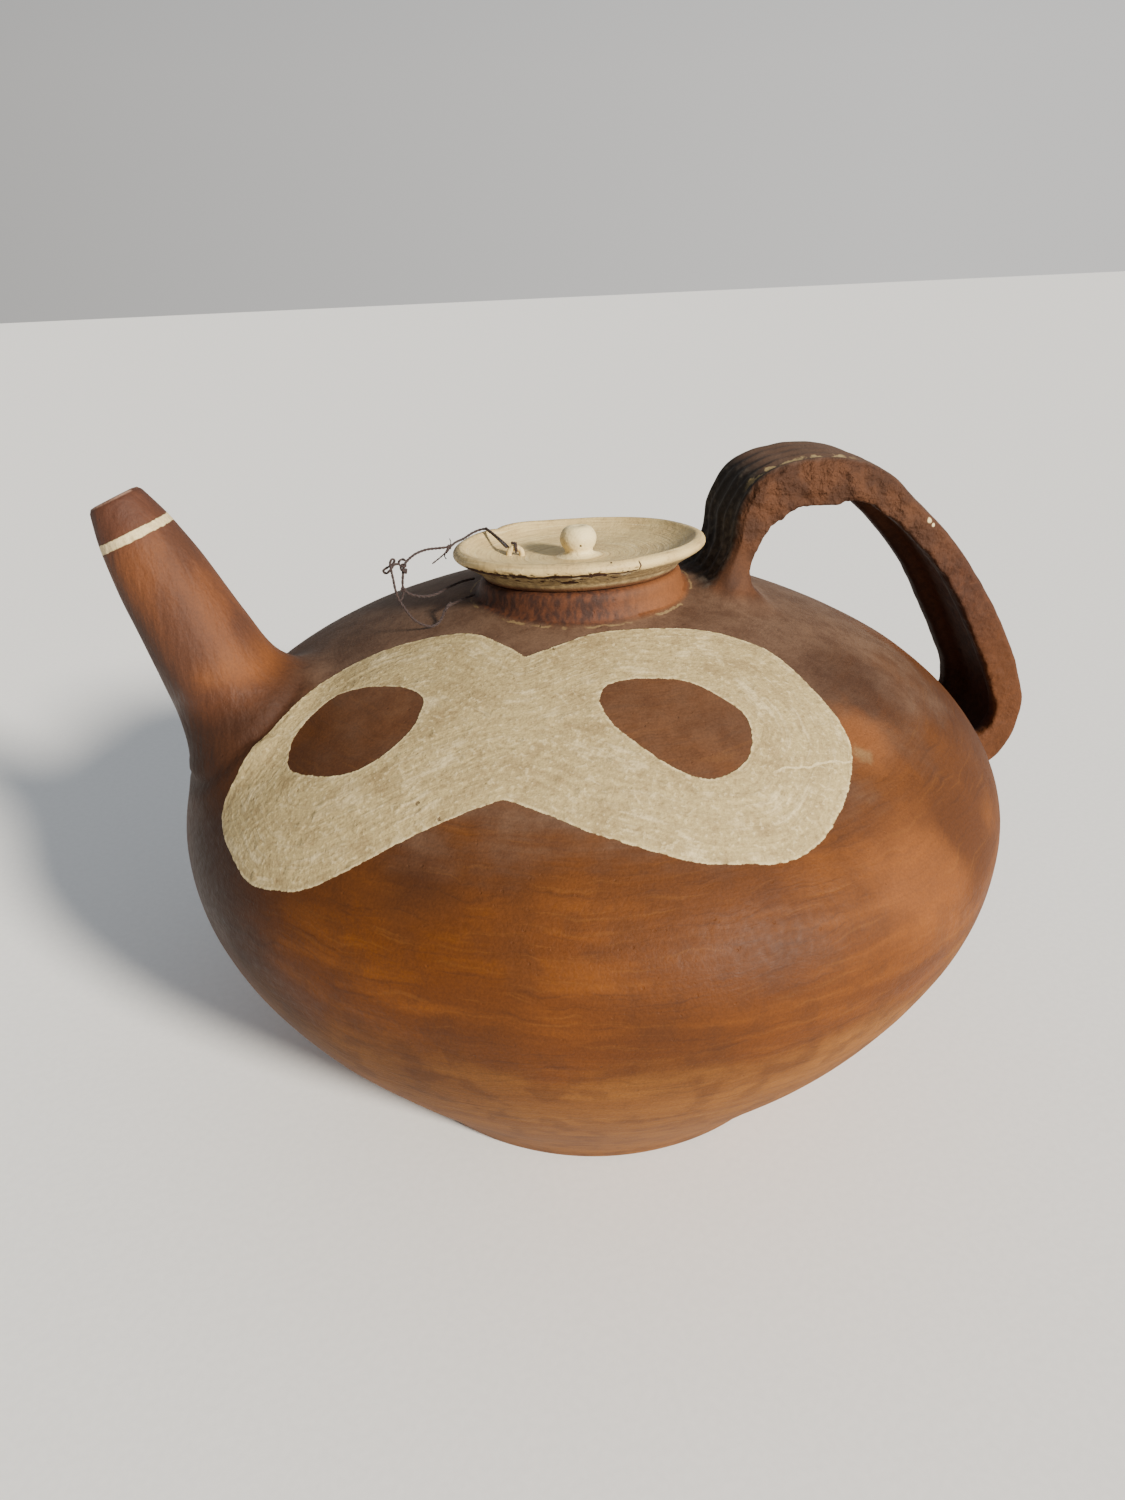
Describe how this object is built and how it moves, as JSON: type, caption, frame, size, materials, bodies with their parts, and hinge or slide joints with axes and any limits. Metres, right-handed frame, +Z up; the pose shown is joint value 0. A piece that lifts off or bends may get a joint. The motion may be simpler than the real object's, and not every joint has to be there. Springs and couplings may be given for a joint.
{
  "type": "earthenware pot",
  "caption": "Round burnished earthenware pot with a leaning tubular spout, a broad strap handle and a dished knobbed lid tied on with twine.",
  "frame": {"origin": "centre of the flat underside, on the axis of the turned body", "axes": "+X towards the handle, -X towards the spout, +Z up; the painted face looks along -Y"},
  "size_m": [0.4954, 0.4406, 0.348],
  "materials": {
    "burnished_clay": "reddish-brown burnished clay with a cream painted figure-eight, dull with soft sheen",
    "cream_slip": "cream slip over brown clay, matt, worn and flaked at the lip",
    "twine": "dark reddish-brown twisted plant fibre"
  },
  "bodies": {
    "root": {"pot_body": "burnished_clay", "lid": "cream_slip", "tether_main": "twine", "tether_branch": "twine"}
  },
  "joints": []
}
